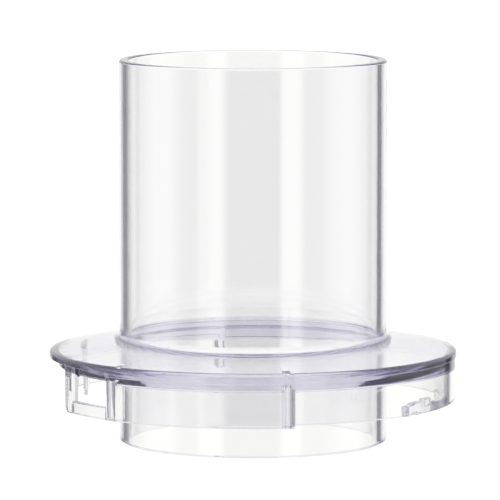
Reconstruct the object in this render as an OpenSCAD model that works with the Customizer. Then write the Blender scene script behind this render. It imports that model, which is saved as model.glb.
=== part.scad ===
// Clear feed tube with a bayonet collar, from a kitchen food processor.
// Origin: centre of the tube's lower end. +Z runs up the tube, -Y is the front, +X the right side.
// Angles around the collar are counted from the front, positive towards the right side.

/* [Tube] */
// Outer radius of the feed tube
tube_r = 42; // [38:0.5:44]
// Wall thickness of the feed tube
tube_wall = 2.9; // [2:0.1:4]
// Height of the whole tube
tube_h = 120; // [100:1:160]
// Chamfer on the tube's two lips
lip = 0.5; // [0.2:0.1:0.8]

/* [Collar deck] */
// Height of the deck where it meets the tube
deck_z = 32.5; // [30:0.5:40]
// Thickness of the deck
deck_t = 2; // [1.5:0.1:2.5]
// Radius of the fillet between the deck and the tube
fillet_r = 2; // [1:0.1:4]
// Outer radius of the collar's rim
rim_r = 64; // [63.5:0.5:66]
// Top edge of the raised rim sectors
rim_high = 28.35; // [28.1:0.05:28.8]
// How much lower the two lowered rim sectors lie
rim_step = 0.15; // [0.1:0.05:0.8]

/* [Skirt] */
// Outer radius of the skirt
skirt_r = 63.6; // [63.5:0.1:63.8]
// Wall thickness of the skirt
skirt_t = 2.5; // [2:0.1:2.5]
// Lower edge of the skirt under the raised rim
skirt_high_z = 13.1; // [12.8:0.1:14]
// Lower edge of the skirt under the lowered rim
skirt_low_z = 12.2; // [12:0.1:12.8]
// Width of the two upright ribs
rib_w = 2.7; // [2:0.1:3.5]

/* [Interlock window] */
// Angle of the window's front side
window_front = -45.2; // [-48:0.2:-44]
// Angle of the window's rear side
window_rear = -62; // [-66:0.5:-58]
// Width of the window's rear post, in degrees
rear_post_w = 4.2; // [3:0.1:6]
// Height of the window's sill
sill_z = 16.2; // [15:0.1:18]
// Angle at which the skirt starts again behind the window
gap_rear = -109.7; // [-120:0.1:-100]
// Thickness of the upright fin inside the window's front side, in degrees
fin_w = 2.2; // [1.5:0.1:4]

/* [Bayonet] */
// Height of the bayonet ramp
lug_h = 4.4; // [3:0.1:5]
// How far the lugs reach inwards from the skirt
lug_in = 2.8; // [2:0.1:3.5]

/* [Hidden] */
$fn = 96;

// Colours of the clear plastic, by thickness.
CLEAR = [0.93, 0.93, 0.96, 0.35];
CLEAR_THICK = [0.86, 0.85, 0.93, 0.5];

bore_r = tube_r - tube_wall;
fillet_out = tube_r + fillet_r;
fillet_top = deck_z + fillet_r;
deck_under = deck_z - deck_t;          // underside of the deck at the tube
crease_r = 54.8;                       // where the deck turns down towards its rim
crease_z = deck_z - 1.9;
rim_in = skirt_r - skirt_t;            // the rim sits on top of the skirt
rim_root_z = 29.4;                     // deck's top surface where the rim begins
rim_low = rim_high - rim_step;
rim_bevel = 0.7;                       // width of the bevel on the rim's top
rim_bevel_z = 29.05;
under_z = 27.1;                        // underside of the deck at the skirt
rim_high_under = 26.8;
rim_low_under = 25.8;

front_rib_at = 10.2;
back_rib_at = front_rib_at + 181.3;
rib_half = asin(rib_w / 2 / (skirt_r - skirt_t / 2));
rib_r = skirt_r + 0.3;                 // the ribs stand just proud of the skirt
rib_fin_in = 54.8;                     // and reach inwards as fins
rib_z = 12.1;
low_back_from = 134;                   // the lowered rim sector behind starts here
fin_in = 56.5;
guide_r = 53.4;
guide_t = 1.1;
guide_z = 15;
guide_from = -99;
guide_to = -81;
lug_r = rim_in - lug_in;               // inner radius of the lugs
lug_z = 12.4;                          // lower edge of the lugs
lug_top = lug_z + lug_h;
ramp_from = 50.1;
ramp_rise_to = 53;                     // the ramp is level from here on
ramp_to = 57.6;
ramp_tail_to = 63.2;                   // a lower tail carries on behind the ramp
ramp_low_h = 3.7;
tail_h = 2.6;
notch_h = 0.9;                         // shallow notch below the ramp
stop_from = 66.1;
stop_to = 98;
stop_h = 3.1;
tab_from = 57.9;
tab_to = 61.8;
tab_h = 2.4;

// Height of the deck's underside at a radius outside its crease.
function under_at(r) =
    under_z + (crease_z - deck_t - under_z) * (rim_in - r) / (rim_in - crease_r);

// Turns an outline (radius, height) around the tube's axis, between two angles from the front.
module sector(from, to) {
    rotate([0, 0, from - 90])
        rotate_extrude(angle = to - from)
            children();
}

module band(r_in, r_out, z_low, z_high) {
    translate([r_in, z_low])
        square([r_out - r_in, z_high - z_low]);
}

module tube_piece(z_low, z_high, lip_low = 0, lip_high = 0) {
    rotate_extrude()
        polygon([
            [bore_r + lip_low, z_low],
            [tube_r - lip_low, z_low],
            [tube_r, z_low + lip_low],
            [tube_r, z_high - lip_high],
            [tube_r - lip_high, z_high],
            [bore_r + lip_high, z_high],
            [bore_r, z_high - lip_high],
            [bore_r, z_low + lip_low]
        ]);
}

module feed_tube() {
    color(CLEAR) tube_piece(fillet_top, tube_h, lip_high = lip);
}

module spigot() {
    color(CLEAR) tube_piece(0, deck_under, lip_low = lip);
}

// The root of the tube, which curves out into the deck.
module root_fillet() {
    color(CLEAR_THICK)
        rotate_extrude()
            difference() {
                translate([bore_r, deck_z])
                    square([fillet_out - bore_r, fillet_r]);
                translate([fillet_out, fillet_top])
                    circle(r = fillet_r);
            }
}

module collar_deck() {
    color(CLEAR)
        rotate_extrude()
            polygon([
                [bore_r, deck_under],
                [tube_r, deck_under],
                [crease_r, crease_z - deck_t],
                [rim_in, under_z],
                [rim_in, rim_root_z],
                [crease_r, crease_z],
                [fillet_out, deck_z],
                [bore_r, deck_z]
            ]);
}

// One sector of the rim, from the deck's shoulder down to the top of the skirt.
module rim(from, to, top, under) {
    color(CLEAR_THICK)
        sector(from, to)
            polygon([
                [rim_in, under],
                [rim_r, under],
                [rim_r, top],
                [rim_r - rim_bevel, rim_bevel_z],
                [rim_in, rim_root_z]
            ]);
}

module rim_right_high() {
    rim(front_rib_at + rib_half, low_back_from, rim_high, rim_high_under);
}

module rim_front_low() {
    rim(window_front, front_rib_at - rib_half, rim_low, rim_low_under);
}

module rim_left_high() {
    rim(back_rib_at + rib_half, 360 + window_front, rim_high, rim_high_under);
}

module rim_back_low() {
    rim(low_back_from, back_rib_at - rib_half, rim_low, rim_low_under);
}

module skirt(from, to, z_low, z_high) {
    color(CLEAR) sector(from, to) band(rim_in, skirt_r, z_low, z_high);
}

module skirt_right() {
    skirt(front_rib_at + rib_half, low_back_from, skirt_high_z, rim_high_under);
}

module skirt_front() {
    skirt(window_front, front_rib_at - rib_half, skirt_low_z, rim_low_under);
}

module skirt_back() {
    skirt(low_back_from, back_rib_at - rib_half, skirt_low_z, rim_low_under);
}

module skirt_rear_left() {
    skirt(back_rib_at + rib_half, 360 + gap_rear, skirt_high_z, rim_high_under);
}

// Outline of a fin that hangs from the deck and reaches out to the skirt.
module hanging_fin(r_in, z_low) {
    polygon([
        [r_in, z_low],
        [rim_in, z_low],
        [rim_in, under_z],
        [r_in, under_at(r_in)]
    ]);
}

// A pad on the skirt, with a fin that reaches inwards below the deck.
module rib(at) {
    color(CLEAR_THICK)
        sector(at - rib_half, at + rib_half)
            union() {
                hanging_fin(rib_fin_in, rib_z);
                band(rim_in, rib_r, rib_z, rim_root_z);
            }
}

module front_rib() {
    rib(front_rib_at);
}

module back_rib() {
    rib(back_rib_at);
}

module window_sill() {
    color(CLEAR_THICK) sector(window_rear, window_front) band(rim_in, skirt_r, skirt_low_z, sill_z);
}

module window_rear_post() {
    skirt(window_rear - rear_post_w, window_rear, skirt_low_z, rim_high_under);
}

module window_fin() {
    color(CLEAR_THICK)
        sector(window_front, window_front + fin_w)
            hanging_fin(fin_in, skirt_low_z);
}

// A short inner wall beside the interlock gap, which hangs from the sloping deck.
module interlock_guide() {
    slope = (crease_z - deck_t - deck_under) / (crease_r - tube_r);
    color(CLEAR)
        sector(guide_from, guide_to)
            polygon([
                [guide_r - guide_t, guide_z],
                [guide_r, guide_z],
                [guide_r, deck_under + slope * (guide_r - tube_r)],
                [guide_r - guide_t, deck_under + slope * (guide_r - guide_t - tube_r)]
            ]);
}

// A lug with a stepped lead-in, a shallow notch below and a lower tail.
module bayonet_ramp() {
    color(CLEAR_THICK)
        difference() {
            sector(ramp_from, ramp_tail_to) band(lug_r, rim_in, lug_z, lug_top);
            sector(ramp_from - 1, ramp_rise_to)
                band(lug_r - 1, rim_in + 1, lug_z + ramp_low_h, lug_top + 1);
            sector(ramp_to, ramp_tail_to + 1)
                band(lug_r - 1, rim_in + 1, lug_z + tail_h, lug_top + 1);
            sector(ramp_rise_to, ramp_to - 1.6)
                band(lug_r - 1, rim_in + 1, lug_z - 1, lug_z + notch_h);
        }
}

module bayonet_stop() {
    color(CLEAR_THICK)
        sector(stop_from, stop_to)
            band(lug_r, rim_in, lug_z, lug_z + stop_h);
}

module catch_tab() {
    color(CLEAR_THICK)
        sector(tab_from, tab_to)
            band(rim_in - 2, rim_in, lug_z + tail_h, lug_z + tail_h + tab_h);
}

feed_tube();
spigot();
root_fillet();
collar_deck();
rim_right_high();
rim_front_low();
rim_left_high();
rim_back_low();
skirt_right();
skirt_front();
skirt_back();
skirt_rear_left();
front_rib();
back_rib();
window_sill();
window_rear_post();
window_fin();
interlock_guide();
bayonet_ramp();
bayonet_stop();
catch_tab();
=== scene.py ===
"""The looks of a clear plastic feed tube with a bayonet collar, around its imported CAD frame.

Lengths inside this script are millimetres until a mesh is made, which is in metres.
Angles go round the collar from the front (-Y), positive towards the right side (+X), in degrees.
"""

import math

import bpy
import bmesh
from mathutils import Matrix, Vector


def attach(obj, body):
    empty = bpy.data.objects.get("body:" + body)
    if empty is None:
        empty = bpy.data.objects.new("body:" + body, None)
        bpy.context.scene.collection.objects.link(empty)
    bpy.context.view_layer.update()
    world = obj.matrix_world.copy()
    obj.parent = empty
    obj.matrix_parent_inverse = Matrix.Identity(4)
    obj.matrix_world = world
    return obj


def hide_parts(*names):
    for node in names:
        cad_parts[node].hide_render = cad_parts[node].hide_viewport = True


MM = 0.001

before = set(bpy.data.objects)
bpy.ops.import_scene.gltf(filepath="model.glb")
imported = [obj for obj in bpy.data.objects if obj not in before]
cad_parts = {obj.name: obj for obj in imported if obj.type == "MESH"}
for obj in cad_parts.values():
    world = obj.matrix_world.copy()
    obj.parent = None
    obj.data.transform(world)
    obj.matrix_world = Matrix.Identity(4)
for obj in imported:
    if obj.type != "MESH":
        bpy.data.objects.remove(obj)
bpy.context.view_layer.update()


# ---------------------------------------------------------------- measuring the frame

class Span:
    """How far a CAD node reaches, in radius, height and angle around the tube's axis."""

    def __init__(self, node):
        points = [v.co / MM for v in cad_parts[node].data.vertices]
        radii = [math.hypot(p.x, p.y) for p in points]
        middle = sum(points, Vector()) / len(points)
        self.at = math.degrees(math.atan2(middle.x, -middle.y))
        turns = []
        for p in points:
            turn = math.degrees(math.atan2(p.x, -p.y)) - self.at
            turns.append((turn + 180) % 360 - 180)
        self.r_in, self.r_out = min(radii), max(radii)
        self.low, self.high = min(p.z for p in points), max(p.z for p in points)
        self.start, self.end = self.at + min(turns), self.at + max(turns)


TUBE = Span("feed_tube")
SPIGOT = Span("spigot")
DECK = Span("collar_deck")
HIGH_RIM = Span("rim_right_high")
HIGH_SKIRT = Span("skirt_right")
LOW_SKIRT = Span("skirt_front")
BACK_SKIRT = Span("skirt_back")
REAR_SKIRT = Span("skirt_rear_left")
FRONT_RIB = Span("front_rib")
BACK_RIB = Span("back_rib")
SILL = Span("window_sill")
REAR_POST = Span("window_rear_post")
FIN = Span("window_fin")
GUIDE = Span("interlock_guide")
RAMP = Span("bayonet_ramp")
STOP = Span("bayonet_stop")
TAB = Span("catch_tab")


# ---------------------------------------------------------------- outlines and turned meshes

ARC_POINTS = 5     # points along each rounded corner
RING_STEP = 1.0    # degrees between rings
REACH = 0.48       # the most of an edge, or of a sector, that one rounding or step may take
SHARP = 0.05       # the least rounding


def rounded(corners):
    """Rounds a closed outline. corners is a list of (radius, height, rounding)."""
    outline = []
    n = len(corners)
    for i, (r, z, size) in enumerate(corners):
        here = Vector((r, z))
        back = Vector(corners[i - 1][:2]) - here
        ahead = Vector(corners[(i + 1) % n][:2]) - here
        angle = back.angle(ahead)
        reach = min(size / math.tan(angle / 2), back.length * REACH, ahead.length * REACH)
        start, end = here + back.normalized() * reach, here + ahead.normalized() * reach
        for k in range(ARC_POINTS):
            t = k / (ARC_POINTS - 1)
            # A rational quadratic curve with this weight is a true circular arc.
            w = math.sin(angle / 2)
            a, b, c = (1 - t) ** 2, 2 * w * t * (1 - t), t ** 2
            outline.append((start * a + here * b + end * c) / (a + b + c))
    return outline


def place(point, turn):
    """Where an outline's point lies when it is turned to this angle, in metres."""
    a = math.radians(turn)
    return Vector((point.x * math.sin(a), -point.x * math.cos(a), point.y)) * MM


def finish_mesh(name, bm):
    """Cleans a mesh and makes an object of it."""
    bmesh.ops.remove_doubles(bm, verts=bm.verts, dist=1e-7)
    bmesh.ops.recalc_face_normals(bm, faces=bm.faces)
    mesh = bpy.data.meshes.new(name)
    bm.to_mesh(mesh)
    bm.free()
    mesh.shade_smooth()
    piece = bpy.data.objects.new(name, mesh)
    bpy.context.scene.collection.objects.link(piece)
    return piece


def loft(name, rings, closed=True):
    """Skins rings, each a list of points in metres, into one closed mesh."""
    bm = bmesh.new()
    loops = [[bm.verts.new(p) for p in ring] for ring in rings]
    count = len(loops[0])
    pairs = list(zip(loops, loops[1:] + loops[:1])) if closed else list(zip(loops, loops[1:]))
    for one, two in pairs:
        for i in range(count):
            j = (i + 1) % count
            bm.faces.new((one[i], one[j], two[j], two[i]))
    if not closed:
        bm.faces.new(loops[0])
        bm.faces.new(loops[-1][::-1])
    return finish_mesh(name, bm)


def turned(name, corners):
    """A full ring of one outline."""
    outline = rounded(corners)
    steps = round(360 / RING_STEP)
    return loft(name, [[place(p, i * RING_STEP) for p in outline] for i in range(steps)])


def shrunk(corners, by):
    """The same outline moved inwards by a small amount. Corners run anticlockwise in (radius, height)."""
    moved = []
    n = len(corners)
    for i, (r, z, size) in enumerate(corners):
        here = Vector((r, z))
        a = (here - Vector(corners[i - 1][:2])).normalized()
        b = (Vector(corners[(i + 1) % n][:2]) - here).normalized()
        inward = Vector((-a.y - b.y, a.x + b.x))
        scale = inward.length_squared / 2
        moved.append((r + inward.x * by / scale, z + inward.y * by / scale, max(size - by, SHARP)))
    return moved


def arc_block(name, corners, start, end, edge=0.25):
    """A sector of an outline between two angles, with rounded end edges."""
    mean = sum(c[0] for c in corners) / len(corners)
    rings = []
    steps = [(edge * (1 - math.cos(math.radians(t))), edge * (1 - math.sin(math.radians(t))))
             for t in (0, 22.5, 45, 67.5, 90)]
    for along, inset in steps:
        rings.append((start + math.degrees(along / mean), inset))
    inner_start, inner_end = rings[-1][0], end - math.degrees(edge / mean)
    count = max(2, round((inner_end - inner_start) / RING_STEP))
    for i in range(1, count):
        rings.append((inner_start + (inner_end - inner_start) * i / count, 0))
    for along, inset in reversed(steps):
        rings.append((end - math.degrees(along / mean), inset))
    skins = []
    for turn, inset in rings:
        outline = rounded(shrunk(corners, inset) if inset > 1e-6 else corners)
        skins.append([place(p, turn) for p in outline])
    return loft(name, skins, closed=False)


# ---------------------------------------------------------------- the mouldings

LIP = 0.75          # rounding of the tube's lips
OVERLAP = 0.01      # the collar reaches this far into the tube's skin, so that no air lies between


def make_tube():
    return turned("feed_tube_moulding", [
        (TUBE.r_in, SPIGOT.low, LIP),
        (TUBE.r_out, SPIGOT.low, LIP),
        (TUBE.r_out, TUBE.high, LIP),
        (TUBE.r_in, TUBE.high, LIP),
    ])


DECK_SLOPE = 0.18   # how fast the deck falls towards its rim
RIM_WIDTH = 0.7     # width of the rim's sloping top
FILLET = 2.0        # radius of the fillet between the deck and the tube
HUB_DROP = 0.9      # the deck's root reaches this far below its underside, against the tube
HUB_RISE = 2.2      # where the fillet's skin ends on the tube, in fillet radii above the deck
LEG_DRAFT = 0.15    # how much thinner the leg is at its lower edge


def collar_outline(leg_in, leg_out, leg_low, under, top):
    """The collar's section: deck, rim and one leg, which is the skirt, a post, a rib or a fin."""
    hub = TUBE.r_out - OVERLAP
    skin = TUBE.r_out + OVERLAP
    rim_root = HIGH_RIM.r_out - RIM_WIDTH
    deck_edge = DECK.high - DECK_SLOPE * (rim_root - TUBE.r_out - FILLET)
    # Known fault: DECK.low is the deck's lowest point, out at its rim, but it is used here as the
    # underside at the tube. The deck comes out 5.7 mm thick, where the CAD's is about 2 mm.
    under_edge = DECK.low - DECK_SLOPE * (leg_in - TUBE.r_out)
    return rounded([
        (hub, DECK.low - HUB_DROP, SHARP),
        (skin + 0.1, DECK.low, 0.8),
        (leg_in, under_edge, 0.8),
        (leg_in + LEG_DRAFT, leg_low, 0.4),
        (leg_out, leg_low, 0.45),
        (leg_out, under, 0.25),
        (HIGH_RIM.r_out, under, 0.4),
        (HIGH_RIM.r_out, top, 0.6),
        (rim_root, deck_edge, 1.5),
        (skin, DECK.high + DECK_SLOPE * FILLET, FILLET),
        (skin, DECK.high + HUB_RISE * FILLET, 0.02),
        (hub, DECK.high + HUB_RISE * FILLET + 0.05, 0.01),
    ])


RIM_TOP = 28.35     # top edge of the rim's upright face
RIM_STEP = 0.15     # how much lower it lies on the lowered sectors
STEP_HALF = 0.3     # half the width of a step between two sections
STEP_PLACES = (-1, -0.7, -0.35, -0.12, 0.12, 0.35, 0.7, 1)
STEP_SHARES = (0, 0.02, 0.07, 0.2, 0.8, 0.93, 0.98, 1)
CORNER = 1.6        # rounding of the lower corner where the skirt is cut off
CUT_SHARES = (0.0, 0.12, 0.3, 0.55, 1.0)
RIB_CREST = 0.3     # how far the rim rises over a rib
BARE_LEG = 0.04     # what is left of the leg where the skirt is cut away


def cut_off(section, open_section, turn, way):
    """Sections that round the skirt's lower corner at its cut end. way is 1 where the skirt starts."""
    steps = []
    for share in CUT_SHARES:
        lift = CORNER * (1 - math.sqrt(1 - (1 - share) ** 2))
        steps.append((turn + way * math.degrees(CORNER * share / HIGH_SKIRT.r_out), section(lift)))
    return steps


def make_collar():
    """The collar in one skin: a section for each sector, with a short step between two sections."""
    high_top, low_top = RIM_TOP, RIM_TOP - RIM_STEP
    skirt_in, skirt_out = HIGH_SKIRT.r_in, HIGH_SKIRT.r_out
    high_under, low_under = HIGH_SKIRT.high, LOW_SKIRT.high

    def high(lift=0.0):
        return collar_outline(skirt_in, skirt_out, HIGH_SKIRT.low + lift, high_under, high_top)

    def post(lift=0.0):
        return collar_outline(skirt_in, skirt_out, REAR_POST.low + lift, high_under, high_top)

    rib = collar_outline(FRONT_RIB.r_in, FRONT_RIB.r_out, FRONT_RIB.low, high_under, high_top + RIB_CREST)
    front = collar_outline(skirt_in, skirt_out, LOW_SKIRT.low, low_under, low_top)
    fin = collar_outline(FIN.r_in, skirt_out, FIN.low, low_under, low_top)
    bare = collar_outline(skirt_in, skirt_out, high_under - BARE_LEG, high_under, high_top)
    # (where a section begins, the section), going round from the front rib
    sections = [(FRONT_RIB.start, rib), (FRONT_RIB.end, high()), (BACK_SKIRT.start, front),
                (BACK_RIB.start % 360, rib), (BACK_RIB.end % 360, high())]
    gap_start, gap_end = REAR_SKIRT.end % 360, REAR_POST.start % 360
    sections += [(gap_start, bare)]
    sections += cut_off(post, bare, gap_end, 1)
    sections += [(REAR_POST.end % 360, bare), (FIN.start % 360, fin), (FIN.end % 360, front)]
    rings = []
    for i, (turn, section) in enumerate(sections):
        before = sections[i - 1][1]
        following = sections[(i + 1) % len(sections)][0]
        following += 360 if following < turn else 0
        previous = sections[i - 1][0]
        previous -= 360 if previous > turn else 0
        room = min(following - turn, turn - previous) * REACH
        half = min(math.degrees(STEP_HALF / skirt_out), room)
        for u, share in zip(STEP_PLACES, STEP_SHARES):
            between = [a.lerp(b, share) for a, b in zip(before, section)]
            rings.append([place(p, turn + u * half) for p in between])
        first, last = turn + half, following - math.degrees(STEP_HALF / skirt_out)
        count = max(1, round((last - first) / RING_STEP))
        for k in range(1, count):
            at = first + (last - first) * k / count
            rings.append([place(p, at) for p in section])
    return loft("collar_moulding", rings)


def block(span, edge, grow_out=0.0):
    """The four corners of a plain block's outline, anticlockwise."""
    r_in, r_out = span.r_in, span.r_out + grow_out
    return [
        (r_in, span.low, edge),
        (r_out, span.low, edge),
        (r_out, span.high, edge),
        (r_in, span.high, edge),
    ]


SILL_EDGE = 0.6     # roundings of the small pieces
GUIDE_EDGE = 0.3
STOP_EDGE = 0.55
TAB_EDGE = 0.5
RAMP_EDGE = 0.55    # on the ramp's inner face
RAMP_ROOT = 0.3     # on its outer face, against the skirt
RAMP_END = 0.25     # how much the ramp shrinks at its two ends
LEAD_TURN = 2.9     # degrees from the ramp's start to its notch
BAR_START = 7.2     # degrees from the ramp's end to the upright bar's two sides
BAR_END = 5.6
RAMP_NOTCH = 0.9    # depth of the shallow notch below the ramp
TAIL_DROP = 1.8     # the ramp's tail lies this much lower than its top


def make_ramp():
    """The ramp lug: a stepped lead-in, a notch below, an upright bar and a lower tail."""
    low, high = RAMP.low, RAMP.high
    lead, bar_start, bar_end = RAMP.start + LEAD_TURN, RAMP.end - BAR_START, RAMP.end - BAR_END
    # (angle, bottom, top)
    steps = [
        (RAMP.start, low + 0.25, high - 1.1),
        (RAMP.start + 0.3, low, high - 0.85),
        (lead - 0.2, low, high - 0.6),
        (lead + 0.1, low + RAMP_NOTCH, high - 0.25),
        (bar_start - 0.1, low + RAMP_NOTCH, high - 0.05),
        (bar_start + 0.15, low, high),
        (bar_end - 0.1, low, high),
        (bar_end + 0.15, low, high - TAIL_DROP),
        (RAMP.end - 2.5, low + 0.3, high - TAIL_DROP - 0.1),
        (RAMP.end - 0.3, low, high - TAIL_DROP),
        (RAMP.end, low + 0.25, high - TAIL_DROP - 0.25),
    ]
    rings = []
    for turn, bottom, top in steps:
        inset = RAMP_END if turn in (RAMP.start, RAMP.end) else 0.0
        outline = rounded([
            (RAMP.r_in + inset, bottom, RAMP_EDGE),
            (RAMP.r_out + OVERLAP, bottom, RAMP_ROOT),
            (RAMP.r_out + OVERLAP, top, RAMP_ROOT),
            (RAMP.r_in + inset, top, RAMP_EDGE),
        ])
        rings.append([place(p, turn) for p in outline])
    return loft("bayonet_ramp_lug", rings, closed=False)


def make_small_parts():
    """The pieces that have a node of their own, by node."""
    more = math.degrees(OVERLAP / SILL.r_out)
    guide = block(GUIDE, GUIDE_EDGE)
    return {
        "window_sill": arc_block("window_sill_bar", block(SILL, SILL_EDGE),
                                 SILL.start - more, SILL.end + more),
        "interlock_guide": arc_block("interlock_guide_wall", guide, GUIDE.start, GUIDE.end),
        "bayonet_ramp": make_ramp(),
        "bayonet_stop": arc_block("bayonet_stop_lug", block(STOP, STOP_EDGE, grow_out=OVERLAP),
                                  STOP.start, STOP.end),
        "catch_tab": arc_block("catch_tab_lug", block(TAB, TAB_EDGE, grow_out=OVERLAP),
                               TAB.start, TAB.end),
    }


# ---------------------------------------------------------------- materials

PLASTIC_IOR = 1.57
HAZE_SCALE, HAZE_DETAIL, HAZE_MOST = 70.0, 4.0, 0.035
RIPPLE_SCALE, RIPPLE_DETAIL, RIPPLE_STRENGTH = 120.0, 2.0, 0.5
RIPPLE_DEPTH = 0.00002      # metres
ABSORPTION = 50.0           # per metre
# Chosen one by one. The real part is one plastic: the thick pieces' tint is deeper only to darken them.
WALL_TINT = (0.77, 0.755, 0.86, 1)
# Painted shade: this deeper tint darkens the small solid pieces, which are the same plastic as the walls.
THICK_SHADE_TINT = (0.35, 0.32, 0.52, 1)
NOISE_LOW, NOISE_HIGH = 0.35, 0.65      # a noise texture's middle range
FLOOR_GLOW = 0.95

def texture(nt, kind, scale, detail):
    """A texture fixed to the object, in metres."""
    coord = nt.nodes.new("ShaderNodeTexCoord")
    node = nt.nodes.new(kind)
    node.inputs["Scale"].default_value = scale
    node.inputs["Detail"].default_value = detail
    nt.links.new(coord.outputs["Object"], node.inputs["Vector"])
    return node.outputs[0]


def span_of(nt, value, low, high):
    """A texture's middle range, spread over two values."""
    node = nt.nodes.new("ShaderNodeMapRange")
    node.inputs["From Min"].default_value = NOISE_LOW
    node.inputs["From Max"].default_value = NOISE_HIGH
    node.inputs["To Min"].default_value = low
    node.inputs["To Max"].default_value = high
    nt.links.new(value, node.inputs["Value"])
    return node.outputs[0]


def clear_plastic(name, tint):
    """Moulded clear plastic: a faint flow ripple, and a little handling haze in patches."""
    mat = bpy.data.materials.new(name)
    mat.use_nodes = True
    nt = mat.node_tree
    shader = nt.nodes["Principled BSDF"]
    shader.inputs["Base Color"].default_value = (1, 1, 1, 1)
    shader.inputs["Transmission Weight"].default_value = 1.0
    shader.inputs["IOR"].default_value = PLASTIC_IOR
    haze = span_of(nt, texture(nt, "ShaderNodeTexNoise", HAZE_SCALE, HAZE_DETAIL), 0.0, HAZE_MOST)
    nt.links.new(haze, shader.inputs["Roughness"])
    ripple = nt.nodes.new("ShaderNodeBump")
    ripple.inputs["Strength"].default_value = RIPPLE_STRENGTH
    ripple.inputs["Distance"].default_value = RIPPLE_DEPTH
    waves = texture(nt, "ShaderNodeTexNoise", RIPPLE_SCALE, RIPPLE_DETAIL)
    nt.links.new(waves, ripple.inputs["Height"])
    nt.links.new(ripple.outputs[0], shader.inputs["Normal"])
    absorb = nt.nodes.new("ShaderNodeVolumeAbsorption")
    absorb.inputs["Color"].default_value = tint
    absorb.inputs["Density"].default_value = ABSORPTION
    nt.links.new(absorb.outputs[0], nt.nodes["Material Output"].inputs["Volume"])
    return mat


def pale_floor():
    """A plain white table that glows evenly, so that no shadow falls on it."""
    mat = bpy.data.materials.new("pale_floor")
    mat.use_nodes = True
    nt = mat.node_tree
    shader = nt.nodes["Principled BSDF"]
    shader.inputs["Base Color"].default_value = (0.2, 0.2, 0.2, 1)
    shader.inputs["Roughness"].default_value = 0.9
    shader.inputs["Specular IOR Level"].default_value = 0.0
    shader.inputs["Emission Color"].default_value = (1, 1, 1, 1)
    shader.inputs["Emission Strength"].default_value = FLOOR_GLOW
    return mat


# ---------------------------------------------------------------- stage

TABLE_SIDE = 4.0            # metres from the middle to each edge

def make_floor():
    """A plain pale table. Only the camera and diffuse light see it: the plastic sees the studio."""
    mesh = bpy.data.meshes.new("table")
    side = TABLE_SIDE
    corners = [(-side, -side, 0), (side, -side, 0), (side, side, 0), (-side, side, 0)]
    mesh.from_pydata(corners, [], [(0, 1, 2, 3)])
    mesh.materials.append(pale_floor())
    table = bpy.data.objects.new("table", mesh)
    table.visible_transmission = False
    table.visible_glossy = False
    bpy.context.scene.collection.objects.link(table)


# The studio's brightness round the horizon: (direction in degrees from the front, brightness).
# A white sheet stands behind, with a dark flag on each side of it, and the camera's side is dim
# between two soft boxes.
STUDIO = (
    (-180, 1.0), (-161, 1.0), (-156, 0.2), (-148, 0.2), (-139, 0.7), (-112, 0.75), (-106, 1.0),
    (-78, 1.0), (-66, 0.4), (-51, 0.35), (-47, 1.05), (-29, 1.05), (-24, 0.06),
    (22, 0.06), (27, 1.05), (40, 1.05), (45, 0.35), (66, 0.4), (86, 1.0), (108, 1.0), (116, 0.7),
    (138, 0.65), (143, 0.13), (149, 0.13), (156, 1.0), (180, 1.0),
)
# Above the tops of the flags.
STUDIO_ABOVE = (
    (-180, 0.97), (-112, 0.93), (-78, 0.93), (-66, 0.5), (-51, 0.45), (-47, 1.0), (-29, 1.0),
    (-24, 0.08), (22, 0.08), (27, 1.0), (40, 1.0), (45, 0.45), (66, 0.5), (86, 0.93), (108, 0.93),
    (180, 0.97),
)
COOL, COOL_BELOW = 0.05, 0.6        # levels below this one are a little blue
TOPS = (0.0, 0.05)                  # heights where the flags' tops fade, as a direction's Z
SHEET_TOP = (0.6, 0.9)              # where all of it fades to white overhead
SHEET_FOOT = (9.8, 12.5)            # degrees below the horizon where it fades to white
WARM = (1.035, 1.035, 1.0)          # the studio's white is a little warm, so thin walls look neutral


def fade(nt, value, start, end):
    """A smooth 0 to 1 of a socket between two values."""
    node = nt.nodes.new("ShaderNodeMapRange")
    node.interpolation_type = "SMOOTHSTEP"
    node.inputs["From Min"].default_value = start
    node.inputs["From Max"].default_value = end
    nt.links.new(value, node.inputs["Value"])
    return node.outputs[0]


def blend(nt, factor, first, second):
    """A mix of two colours, each a value or a socket."""
    node = nt.nodes.new("ShaderNodeMix")
    node.data_type = "RGBA"
    for value, socket in ((factor, node.inputs[0]), (first, node.inputs[6]), (second, node.inputs[7])):
        if isinstance(value, tuple):
            socket.default_value = value
        else:
            nt.links.new(value, socket)
    return node.outputs[2]


def studio_ramp(nt, around, stops):
    """The studio's brightness by direction."""
    ramp = nt.nodes.new("ShaderNodeValToRGB")
    nt.links.new(around, ramp.inputs[0])
    elements = ramp.color_ramp.elements
    while len(elements) < len(stops):
        elements.new(0.5)
    for element, (direction, level) in zip(elements, stops):
        element.position = (direction + 180) / 360
        cool = COOL * max(0.0, COOL_BELOW - level)
        element.color = (level, level, level + cool, 1)
    return ramp.outputs[0]


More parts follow.
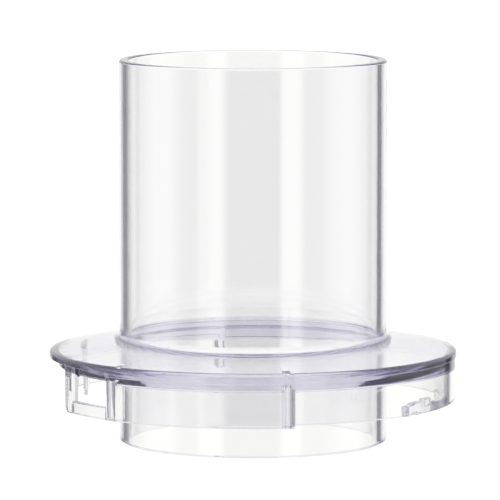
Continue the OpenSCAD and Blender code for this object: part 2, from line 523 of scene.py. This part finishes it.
def make_world():
    """The studio round the object. Its pattern fades out below, where a table would be."""
    world = bpy.data.worlds.new("studio")
    bpy.context.scene.world = world
    world.use_nodes = True
    nt = world.node_tree
    back = nt.nodes["Background"]
    coord = nt.nodes.new("ShaderNodeTexCoord")
    split = nt.nodes.new("ShaderNodeSeparateXYZ")
    nt.links.new(coord.outputs["Generated"], split.inputs[0])
    away = nt.nodes.new("ShaderNodeMath")
    away.operation = "MULTIPLY"
    away.inputs[1].default_value = -1
    nt.links.new(split.outputs["Y"], away.inputs[0])
    turn = nt.nodes.new("ShaderNodeMath")
    turn.operation = "ARCTAN2"
    nt.links.new(split.outputs["X"], turn.inputs[0])
    nt.links.new(away.outputs[0], turn.inputs[1])
    around = nt.nodes.new("ShaderNodeMapRange")
    around.inputs["From Min"].default_value = -math.pi
    around.inputs["From Max"].default_value = math.pi
    nt.links.new(turn.outputs[0], around.inputs["Value"])
    height = split.outputs["Z"]
    low = studio_ramp(nt, around.outputs[0], STUDIO)
    high = studio_ramp(nt, around.outputs[0], STUDIO_ABOVE)
    studio = blend(nt, fade(nt, height, *TOPS), low, high)
    white = (1, 1, 1, 1)
    studio = blend(nt, fade(nt, height, *SHEET_TOP), studio, white)
    foot_start, foot_end = (-math.sin(math.radians(a)) for a in SHEET_FOOT)
    below = fade(nt, height, foot_start, foot_end)
    studio = blend(nt, below, studio, white)
    warm = nt.nodes.new("ShaderNodeVectorMath")
    warm.operation = "MULTIPLY"
    warm.inputs[1].default_value = WARM
    nt.links.new(studio, warm.inputs[0])
    nt.links.new(warm.outputs[0], back.inputs["Color"])
    back.inputs["Strength"].default_value = 1.0


VIEW_DISTANCE = 38.84       # in tube radii, as are the next two
VIEW_AIM = 1.423            # the height that it looks at
VIEW_ASIDE = -0.0186
VIEW_LIFT = 6.24            # degrees above the horizon
SENSOR = 36
FOCAL_PIXELS = 5194.2       # focal length, in pixels of a picture this wide:
PICTURE = 500
BOUNCES = 160               # fewer leave grey patches in the clear deck


def make_camera():
    """A long lens, a little above the object."""
    radius = TUBE.r_out * MM
    distance, lift = VIEW_DISTANCE * radius, math.radians(VIEW_LIFT)
    aim, aside = VIEW_AIM * radius, VIEW_ASIDE * radius
    data = bpy.data.cameras.new("camera")
    data.sensor_width = SENSOR
    data.lens = SENSOR * FOCAL_PIXELS / PICTURE
    data.clip_end = 100
    camera = bpy.data.objects.new("camera", data)
    # The view was fitted to pixel centres, which lie half a pixel from pixel corners.
    half_pixel = distance / FOCAL_PIXELS / 2
    camera.location = (aside - half_pixel, -distance * math.cos(lift),
                       aim + distance * math.sin(lift) + half_pixel)
    camera.rotation_euler = (math.radians(90) - lift, 0, 0)
    bpy.context.scene.collection.objects.link(camera)
    bpy.context.scene.camera = camera


def main():
    """Builds the pieces, dresses them, and sets the stage."""
    scene = bpy.context.scene
    scene.view_settings.view_transform = "Standard"
    scene.cycles.max_bounces = BOUNCES
    scene.cycles.transmission_bounces = BOUNCES
    scene.cycles.glossy_bounces = BOUNCES
    make_camera()
    wall = clear_plastic("clear_plastic_wall", WALL_TINT)
    # A second copy of the plastic, whose deeper tint is painted shade.
    shaded_thick = clear_plastic("clear_plastic_thick_painted_shade", THICK_SHADE_TINT)
    tube = make_tube()
    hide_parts("feed_tube", "spigot")
    collar = make_collar()
    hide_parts("root_fillet", "collar_deck", "rim_right_high", "rim_front_low",
                "rim_left_high", "rim_back_low", "skirt_right", "skirt_front", "skirt_back",
                "skirt_rear_left", "front_rib", "back_rib", "window_rear_post", "window_fin")
    pieces = [(tube, wall, "clear_wall"), (collar, wall, "clear_wall")]
    for node, piece in make_small_parts().items():
        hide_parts(node)
        # Every small piece but the guide gets the copy with painted shade.
        thin = node == "interlock_guide"
        pieces.append((piece, wall if thin else shaded_thick, "clear_wall" if thin else "clear_thick"))
    for piece, material, slot in pieces:
        piece.data.materials.append(material)
        smooth = piece.modifiers.new("even normals", "WEIGHTED_NORMAL")
        smooth.keep_sharp = True
        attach(piece, "root")
    make_floor()
    make_world()


main()
